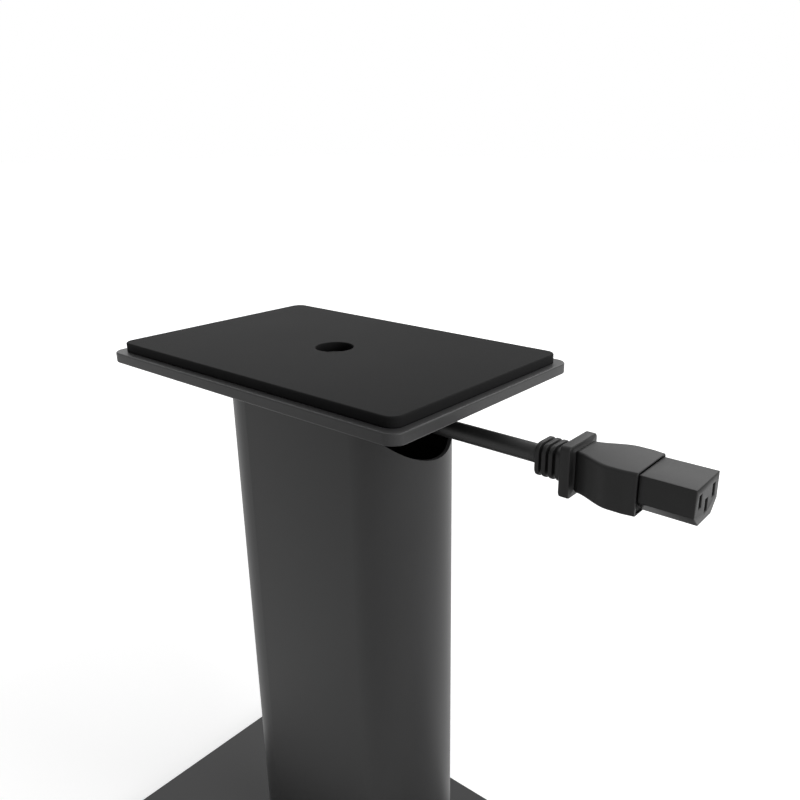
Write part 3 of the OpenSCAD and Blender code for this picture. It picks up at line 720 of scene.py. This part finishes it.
def nut_profile(low, high, shank):
    """Profile of a lock nut from its bore over the nylon ring's rolled edge and the hexagon back to
    its bore. The ring is the lowest quarter, as the nut is screwed on from below."""
    flat = (high.y - low.y) / 2
    gap = 0.00005
    bore = shank / 2 + gap
    low_edge = 0.0006
    high_edge = 0.0005
    inset = 0.0004
    ring = flat - inset
    roll = 0.001
    ring_face = ring - roll - 2 * inset
    step = low.z + (high.z - low.z) / 4
    return [
        (bore, low.z + SHARP), (bore + low_edge, low.z), (ring_face, low.z),
        *quarter((ring - roll, low.z), (ring, low.z), (ring, low.z + roll)),
        (ring, step - SHARP), (ring + SHARP, step),
        *hexagon_rows(2 * flat, step, high.z, NUT_CUTS),
        (flat * 0.98, high.z), (bore + high_edge, high.z), (bore, high.z - high_edge),
    ]


class STAND_OT_nut(bpy.types.Operator):
    """Makes the lock nut with its chamfered corners and its nylon ring's rolled edge"""
    bl_idname = "speaker_stand.nut"
    bl_label = "Lock Nut"

    def execute(self, context):
        profile = nut_profile(*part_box("pivot_nut"), context.scene.stand_screws.shank)
        rings = turned_rings(profile, (0, 0))
        place_piece(ring_skin("lock_nut", rings), "zinc_steel", "platform", "pivot_nut")
        return {"FINISHED"}


def pad_profile(low, high, bore, seat):
    """Profile of a rubber pad from the seat of its stud over its dished top and its grooved side to
    the ring that is let into its sole. What lies between is at shares of the radius."""
    radius = (high.x - low.x) / 2
    edge = 0.0012
    dish = high.z - 0.0004
    let_in = 0.0005
    groove = low.z + 0.0014
    flank = 0.0004
    return [
        (bore, seat), (bore, high.z), (radius * 0.55, high.z), (radius * 0.58, dish),
        (radius * 0.9, dish),
        *quarter((radius - edge, high.z), (radius, high.z), (radius, high.z - edge)),
        (radius, groove + 3 * flank), (radius - let_in, groove + 2 * flank),
        (radius - let_in, groove + flank), (radius, groove),
        *quarter((radius, low.z + edge), (radius, low.z), (radius - edge, low.z)),
        (radius * 0.72, low.z), (radius * 0.7, low.z + let_in), (radius * 0.5, low.z + let_in),
        (radius * 0.48, low.z), (radius * 0.2, low.z),
    ]


def stud_profile(screws, low, high, collar_low, collar_high):
    """Profile of a foot's stud from its lower end over its hexagon collar and its thread to its tip."""
    stud = screws.foot_stud / 2
    face = np.minimum(hexagon_radius(screws.collar), screws.collar * COLLAR_FACE_SHARE)
    face = face - COLLAR_FACE_EDGE
    thread_low = collar_high + LEAST_STEP
    return [
        (LEAST_STEP, low.z), (stud - STUD_EDGE, low.z), (stud, low.z + STUD_EDGE),
        (stud, collar_low), (face, collar_low),
        *hexagon_rows(screws.collar, collar_low, collar_high, COLLAR_CUTS),
        (face, collar_high), (stud, collar_high),
        *thread_rows(screws.foot_stud, screws.foot_pitch, thread_low, high.z - TIP_LENGTH),
        (stud - TIP_DEPTH, high.z), (LEAST_STEP, high.z),
    ]


class STAND_OT_feet(bpy.types.Operator):
    """Turns the four rubber pads and their studs with hexagon collars and threads"""
    bl_idname = "speaker_stand.feet"
    bl_label = "Feet"

    def execute(self, context):
        screws = context.scene.stand_screws
        bore = screws.foot_stud / 2 + screws.running_gap
        base_low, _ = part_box("base_plate")
        for end, side in FEET:
            pad_low, pad_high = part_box(f"foot_pad_{end}_{side}")
            stud_low, stud_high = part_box(f"foot_stud_{end}_{side}")
            place = (pad_low + pad_high) / 2
            profile = pad_profile(pad_low, pad_high, bore, stud_low.z)
            pad = skin(f"pad_{end}_{side}", turned_rings(profile, place)[::-1])
            place_piece(pad, "foot_rubber", f"{end}_{side}_pad", f"foot_pad_{end}_{side}")
            profile = stud_profile(screws, stud_low, stud_high, pad_high.z, base_low.z)
            stud = skin(f"stud_{end}_{side}", turned_rings(profile, place))
            place_piece(stud, "zinc_steel", f"{end}_{side}_stud", f"foot_stud_{end}_{side}")
        return {"FINISHED"}


# Mouldings

def block_rings(start, stations, facing=1):
    """Rings of a moulded block along Y, or along -Y where facing is -1. Each station is (distance,
    width, height, corner radius), and its ring is the rounded outline of that width and height."""
    rings = []
    for distance, width, height, corner in stations:
        x, z = rounded_outline(width, height, corner, BLOCK_CORNER_STEPS, side_steps=1)[0].T
        rings.append(np.stack((facing * x, np.full(x.shape, facing * distance), z), axis=1))
    return np.stack(rings)[:, ::-1] + np.array(start)


def soft_end(stations, radius, steps=3):
    """Stations with a rounded last end. There the width and height are less by twice the radius times
    1 - sin a, at the radius times 1 - cos a from the end, for a from 90 to 0 degrees."""
    distance, width, height, corner = stations[-1]
    back = np.sign(stations[0][0] - distance)
    rounded = []
    for a in np.linspace(pi / 2, 0, steps + 1):
        inset = radius * (1 - np.sin(a))
        away = radius * (1 - np.cos(a))
        rounded.append((distance + back * away, width - 2 * inset, height - 2 * inset, corner))
    return [*stations[:-1], *rounded]


def soft_start(stations, radius, steps=3):
    """Stations with a rounded first end."""
    return soft_end(stations[::-1], radius, steps)[::-1]


def soft_ends(stations, radius):
    """Stations with both ends rounded."""
    return soft_end(soft_start(stations, radius), radius)


# Appliance connector

# Radius of the edges of a rib, of the flange, and of the grip's end and the nose
RIB_EDGE = 0.0005
FLANGE_EDGE = 0.0007
GRIP_EDGE = 0.0004
# Corner radius along the flange, the crease, the brow behind it, the grip and the recess
FLANGE_CORNER = 0.002
CREASE_CORNER = 0.001
BROW_CORNER = 0.0012
GRIP_CORNER = 0.0014
RECESS_CORNER = 0.0006
# The neck's rise out of the last groove and its spread to the flange, as (along, wider) in neck edges
NECK_EDGE = 0.001
NECK_RISE_SHARES = ((0, -1), (0.2, -0.4), (0.6, 0))
NECK_SPREAD_SHARES = ((-1, 0), (-0.3, 0.3), (0, 1))
# Steps along the grip, where it is widest, and from where it draws in to its shoulder
GRIP_STEPS = 40
WIDEST_SHARE = 0.62
DRAW_IN_SHARE = 0.8


def relief_stations(part, flange_y):
    """The strain relief: ribs with rounded edges, a groove behind each, and the neck to the flange."""
    width = part.relief
    corner = width / 4
    inner = width - 2 * part.groove_depth
    inner_corner = 0.6 * corner
    stations = []
    for k in range(part.ribs):
        y = k * (part.rib + part.groove)
        rib = [(y, width, width, corner), (y + part.rib, width, width, corner)]
        stations += soft_ends(rib, RIB_EDGE)
        stations += [
            (y + part.rib + SHARP, inner, inner, inner_corner),
            (y + part.rib + part.groove - SHARP, inner, inner, inner_corner),
        ]
    for place, shares in ((flange_y - part.neck, NECK_RISE_SHARES), (flange_y, NECK_SPREAD_SHARES)):
        for along, wider in shares:
            across = width + NECK_EDGE * wider
            stations.append((place + NECK_EDGE * along, across, across, corner))
    return stations


def grip_stations(part, grip_y):
    """The grip behind a crease. Its width grows smoothly from the waist to its widest place and falls
    smoothly to the shoulder, and a recess for the nose's root is let into its end."""
    widest, length, height = part.grip
    crease_w = part.waist - 2 * part.crease
    crease_h = height - 2 * part.crease
    share = np.linspace(0, 1, GRIP_STEPS + 1)[2:]
    width = part.waist + (widest - part.waist) * smooth(share / WIDEST_SHARE)
    width -= (widest - part.shoulder) * smooth((share - DRAW_IN_SHARE) / (1 - DRAW_IN_SHARE))
    body = [(grip_y + length * s, w, height, GRIP_CORNER) for s, w in zip(share, width)]
    nose_low, nose_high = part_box("connector_nose")
    recess_w = nose_high.x - nose_low.x + 2 * part.recess_gap
    recess_h = nose_high.z - nose_low.z + 2 * part.recess_gap
    return [
        (grip_y, crease_w, crease_h, CREASE_CORNER),
        (grip_y + part.crease, crease_w, crease_h, CREASE_CORNER),
        (grip_y + part.crease + LEAST_STEP, part.waist - GRIP_EDGE, height - GRIP_EDGE, BROW_CORNER),
        *soft_end(body, GRIP_EDGE),
        (grip_y + length, recess_w, recess_h, RECESS_CORNER),
        (grip_y + length - part.recess, recess_w - LEAST_STEP, recess_h - LEAST_STEP, RECESS_CORNER),
    ]


class STAND_OT_connector(bpy.types.Operator):
    """Moulds the appliance connector: ribbed strain relief, finger flange, flared grip and nose"""
    bl_idname = "speaker_stand.connector"
    bl_label = "Appliance Connector"

    def execute(self, context):
        part = context.scene.stand_connector
        flange_y = part.ribs * (part.rib + part.groove) + part.neck
        width, thickness, height = part.flange
        grip_y = flange_y + thickness
        flange = [(flange_y, width, height, FLANGE_CORNER), (grip_y, width, height, FLANGE_CORNER)]
        rings = block_rings(LEAD_ROUTE[0], [
            *relief_stations(part, flange_y), *soft_ends(flange, FLANGE_EDGE),
            *grip_stations(part, grip_y),
        ])
        mould = skin("connector_mould", rings)
        place_piece(mould, "moulded_plastic", "stand", "connector_grip")
        face = merged_copy("connector_face", "connector_nose", GRIP_EDGE)
        place_piece(face, "moulded_plastic", "stand", "connector_nose")
        return {"FINISHED"}


# Mains plug and the coil's tie

# The plug's grip as shares of its length, its width, its height and half its height
PLUG_FORM_SHARES = np.array([
    (0, 0.55, 0.62, 0.6), (0.06, 0.62, 0.7, 0.62), (0.14, 0.76, 0.78, 0.64), (0.24, 0.82, 0.82, 0.62),
    (0.4, 0.8, 0.82, 0.6), (0.55, 0.82, 0.84, 0.56), (0.7, 0.9, 0.9, 0.5), (0.8, 0.97, 0.97, 0.42),
    (0.87, 1, 1, 0.36), (1, 1, 1, 0.36),
])
# A groove's form: distance from its middle in thirds of a rib's length, and share of its depth
GROOVE_SHARES = (
    (-0.58, 0), (-0.5, 0.15), (-0.47, 0.8), (-0.38, 1), (0.38, 1), (0.47, 0.8), (0.5, 0.15), (0.58, 0),
)
# Corner radius of a nearly round section, as a share of its width
ROUND_SHARE = 0.48
# Radius of the edges of the plug's face, the strain relief's thin end and the blades
PLUG_EDGE = 0.0009
THIN_EDGE = 0.0005
BLADE_EDGE = 0.00025
# How far a pin's side has turned in where its tip ends
PIN_TIP_ANGLE = radians(86.4)


def round_stations(rows):
    """Stations of nearly round sections from rows of (distance, width)."""
    return [(distance, width, width, ROUND_SHARE * width) for distance, width in rows]


def boot_stations(part):
    """The plug's strain relief, which grows evenly from its thin to its thick end, with a groove two
    thirds of the way along each rib's length."""
    step = part.boot / part.ribs
    growth = (part.thick - part.thin) / part.ribs
    rows = []
    for k in range(part.ribs):
        rows.append((k * step, part.thin + growth * k))
        width = part.thin + growth * (k + 1 / 3)
        rows += [
            ((k + 2 / 3 + far / 3) * step, width - 2 * part.groove * deep)
            for far, deep in GROOVE_SHARES
        ]
    return soft_start(round_stations(rows), THIN_EDGE, steps=2)


def plug_stations(part):
    """The plug's grip: a smooth line through its shares, kept within its full sizes."""
    length, width, height = part.grip
    form = np.minimum(smooth_line(PLUG_FORM_SHARES, steps=4), PLUG_FORM_SHARES.max(axis=0))[1:]
    form = form * np.array((length, width, height, height / 2)) + np.array((part.boot, 0, 0, 0))
    return soft_end(list(form), PLUG_EDGE)


def pin_stations(across, length):
    """A round pin whose tip narrows as the cosine of an angle that grows from 0."""
    a = np.linspace(0, PIN_TIP_ANGLE, 8)
    tip = zip(length - across / 2 * (1 - np.sin(a)), across * np.cos(a))
    return round_stations([(0, across), *tip])


class STAND_OT_plug(bpy.types.Operator):
    """Moulds the mains plug: ribbed strain relief, waisted grip, two blades and the earth pin"""
    bl_idname = "speaker_stand.plug"
    bl_label = "Mains Plug"

    def execute(self, context):
        part = context.scene.stand_plug
        stations = boot_stations(part) + plug_stations(part)
        mould = skin("plug_mould", block_rings(TAIL_ROUTE[-1], stations, facing=-1))
        place_piece(mould, "moulded_plastic", "stand", "plug_grip")
        blades = merged_copy("plug_contacts", "plug_blades", BLADE_EDGE)
        place_piece(blades, "contact_brass", "stand", "plug_blades")
        low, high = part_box("plug_earth_pin")
        foot = ((low.x + high.x) / 2, high.y, (low.z + high.z) / 2)
        stations = pin_stations(high.x - low.x, high.y - low.y)
        pin = skin("plug_pin", block_rings(foot, stations, facing=-1))
        place_piece(pin, "contact_brass", "stand", "plug_earth_pin")
        return {"FINISHED"}


# Where along the strap its free end starts and stops, each with the share that it takes, and how
# far it stands out in thicknesses of the strap
LAP_START_SHARES = (0.02, 0.008)
LAP_END_SHARES = (0.2, 0.03)
LAP_HEIGHT_SHARE = 0.8


class STAND_OT_tie(bpy.types.Operator):
    """Lays the strap round the coil, with its free end lapped over its start"""
    bl_idname = "speaker_stand.tie"
    bl_label = "Coil Tie"

    def execute(self, context):
        low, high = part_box("coil_tie")
        thick = context.scene.stand_plug.tie
        corner = (context.scene.stand_lead.diameter + thick) / 2
        outline, outward = rounded_outline(
            high.y - low.y - thick, high.z - low.z - thick, corner, side_steps=16)
        edge = 0.35 * thick
        section, _ = rounded_outline(high.x - low.x, thick, edge, corner_steps=3, side_steps=2)
        along = np.arange(len(outline)) / len(outline)
        begins = smooth((along - LAP_START_SHARES[0]) / LAP_START_SHARES[1])
        stops = smooth((along - LAP_END_SHARES[0]) / LAP_END_SHARES[1])
        lap = begins * (1 - stops) * thick * LAP_HEIGHT_SHARE
        out = section[None, :, 1] + np.where(section[None, :, 1] > 0, lap[:, None], 0)
        x = np.broadcast_to(section[None, :, 0], out.shape)
        y = outline[:, None, 0] + out * outward[:, None, 0]
        z = outline[:, None, 1] + out * outward[:, None, 1]
        strap = np.stack((x, y, z), axis=2) + (np.array(low) + np.array(high)) / 2
        place_piece(ring_skin("coil_strap", strap), "tie_plastic", "stand", "coil_tie")
        return {"FINISHED"}


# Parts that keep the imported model's shape

CAD_FINISHES = {
    "powder_coat": ["column_tube", "column_head_plate", "column_foot_plate", "base_plate"],
    "zinc_steel": ["pivot_washer"],
    "nylon": ["upper_glide_disc", "lower_glide_disc"],
    "contact_brass": ["connector_sleeves"],
}


class STAND_OT_finishes(bpy.types.Operator):
    """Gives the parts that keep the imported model's shape their finishes"""
    bl_idname = "speaker_stand.finishes"
    bl_label = "Finishes"

    def execute(self, context):
        for slot_name, names in CAD_FINISHES.items():
            for name in names:
                dress(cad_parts[name], slot_name)
        return {"FINISHED"}


# Stage

def soft_lamp(name, place, width, power):
    """A square lamp that stands at its place and looks at the stand."""
    light = bpy.data.lights.new(name, "AREA")
    light.shape = "SQUARE"
    light.size = width
    light.energy = power
    lamp = bpy.data.objects.new(name, light)
    lamp.location = place
    lamp.rotation_euler = (Vector(LAMP_TARGET) - Vector(place)).to_track_quat("-Z", "Y").to_euler()
    bpy.context.scene.collection.objects.link(lamp)


def seen_directly(tree):
    """1 where the picture shows a surface straight, in gloss or through glass, and 0 in its light."""
    path = add(tree, "LightPath").outputs
    straight_or_gloss = worked_out(tree, "MAXIMUM", path["Is Camera Ray"], path["Is Glossy Ray"])
    return worked_out(tree, "MAXIMUM", straight_or_gloss, path["Is Transmission Ray"])


def white_surroundings(strength):
    """A world that looks white and gives a soft light of its own strength from all sides."""
    world = bpy.data.worlds.new("white_surroundings")
    world.use_nodes = True
    tree = world.node_tree
    seen = add(tree, "Mix", {0: seen_directly(tree), 2: strength, 3: 1.0})
    fill(tree, tree.nodes["Background"], {"Color": (1, 1, 1, 1), "Strength": seen.outputs[0]})
    bpy.context.scene.world = world


# The floor's glow, as distance from the stand and strength, at its weakest and at its strongest
GLOW_NEAR = (0.15, 0.55)
GLOW_FAR = (1.6, 0.98)


def floor_material():
    """A pale matt floor with a glow that only the picture sees, so that it reads as white. The glow
    grows with the distance from the stand, where the lamps reach less, and is weakest in its shadow."""
    material = bpy.data.materials.new("pale_floor")
    material.use_nodes = True
    tree = material.node_tree
    place = add(tree, "TexCoord").outputs["Object"]
    distance = add(tree, "VectorMath", {0: place}, operation="LENGTH")
    glow = add(tree, "MapRange", {
        "Value": distance.outputs["Value"], "From Min": GLOW_NEAR[0], "From Max": GLOW_FAR[0],
        "To Min": GLOW_NEAR[1], "To Max": GLOW_FAR[1]})
    fill(tree, tree.nodes["Principled BSDF"], {
        "Base Color": (0.8, 0.8, 0.8, 1), "Roughness": 0.9, "Specular IOR Level": 0.1,
        "Emission Color": (1, 1, 1, 1),
        "Emission Strength": worked_out(tree, "MULTIPLY", seen_directly(tree), glow.outputs[0]),
    })
    return material


# Lamps, as name, place, width and power. The broad rear and left ones light the tops.
LAMPS = [
    ("lamp_rear", (0, 1.7, 1.6), 1.4, 28.0),
    ("lamp_left", (-1.7, 0, 1.6), 1.4, 13.5),
    ("lamp_front_left", (-0.85, -1.47, 1.6), 1.4, 7.8),
    ("lamp_rear_low", (-0.52, 1.93, 0.75), 1.2, 3.8),
]
LAMP_TARGET = (0, 0, 0.25)


class STAND_OT_stage(bpy.types.Operator):
    """Places the camera, the lamps, the pale floor and the white surroundings"""
    bl_idname = "speaker_stand.stage"
    bl_label = "Stage"

    def execute(self, context):
        scene = context.scene
        stage = scene.stand_stage
        lens = bpy.data.cameras.new("photo_view")
        lens.sensor_width = 36
        lens.lens = stage.focal
        lens.shift_x = stage.shift[0]
        lens.shift_y = stage.shift[1]
        camera = bpy.data.objects.new("photo_view", lens)
        camera.location = stage.place
        camera.rotation_euler = (stage.tilt, 0, stage.heading)
        scene.collection.objects.link(camera)
        scene.camera = camera
        for lamp in LAMPS:
            soft_lamp(*lamp)
        white_surroundings(stage.fill)
        corners = stage.floor_size / 2 * np.array([(-1, -1, 0), (1, -1, 0), (1, 1, 0), (-1, 1, 0)])
        floor = new_piece("floor", corners, [(0, 1, 2, 3)], smooth_faces=False)
        floor.data.materials.append(floor_material())
        scene.view_settings.view_transform = "Standard"
        return {"FINISHED"}


# Panel and registration

SETTINGS = {
    "stand_plates": PlateSettings,
    "stand_screws": ScrewSettings,
    "stand_connector": ConnectorSettings,
    "stand_plug": PlugSettings,
    "stand_lead": LeadSettings,
    "stand_finish": FinishSettings,
    "stand_stage": StageSettings,
}
PIECE_OPERATORS = (
    STAND_OT_stage, STAND_OT_connector, STAND_OT_plug, STAND_OT_tie, STAND_OT_lead, STAND_OT_top,
    STAND_OT_screws, STAND_OT_nut, STAND_OT_feet, STAND_OT_finishes,
)


class STAND_PT_panel(bpy.types.Panel):
    """Lists the settings and the pieces in the 3D view's sidebar"""
    bl_label = "Speaker Stand"
    bl_idname = "STAND_PT_panel"
    bl_space_type = "VIEW_3D"
    bl_region_type = "UI"
    bl_category = "Speaker Stand"

    def draw(self, context):
        for name in SETTINGS:
            group = getattr(context.scene, name)
            rows = self.layout.box()
            for key in group.__annotations__:
                rows.prop(group, key)
        for operator in PIECE_OPERATORS:
            self.layout.operator(operator.bl_idname)


def register():
    for made in (*SETTINGS.values(), *PIECE_OPERATORS, STAND_PT_panel):
        bpy.utils.register_class(made)
    for name, group in SETTINGS.items():
        setattr(bpy.types.Scene, name, bpy.props.PointerProperty(type=group))


def unregister():
    for name in SETTINGS:
        delattr(bpy.types.Scene, name)
    for made in (STAND_PT_panel, *reversed(PIECE_OPERATORS), *SETTINGS.values()):
        bpy.utils.unregister_class(made)


def main():
    register()
    for operator in PIECE_OPERATORS:
        family, name = operator.bl_idname.split(".")
        getattr(getattr(bpy.ops, family), name)()
    bpy.context.view_layer.update()


if __name__ == "__main__":
    main()
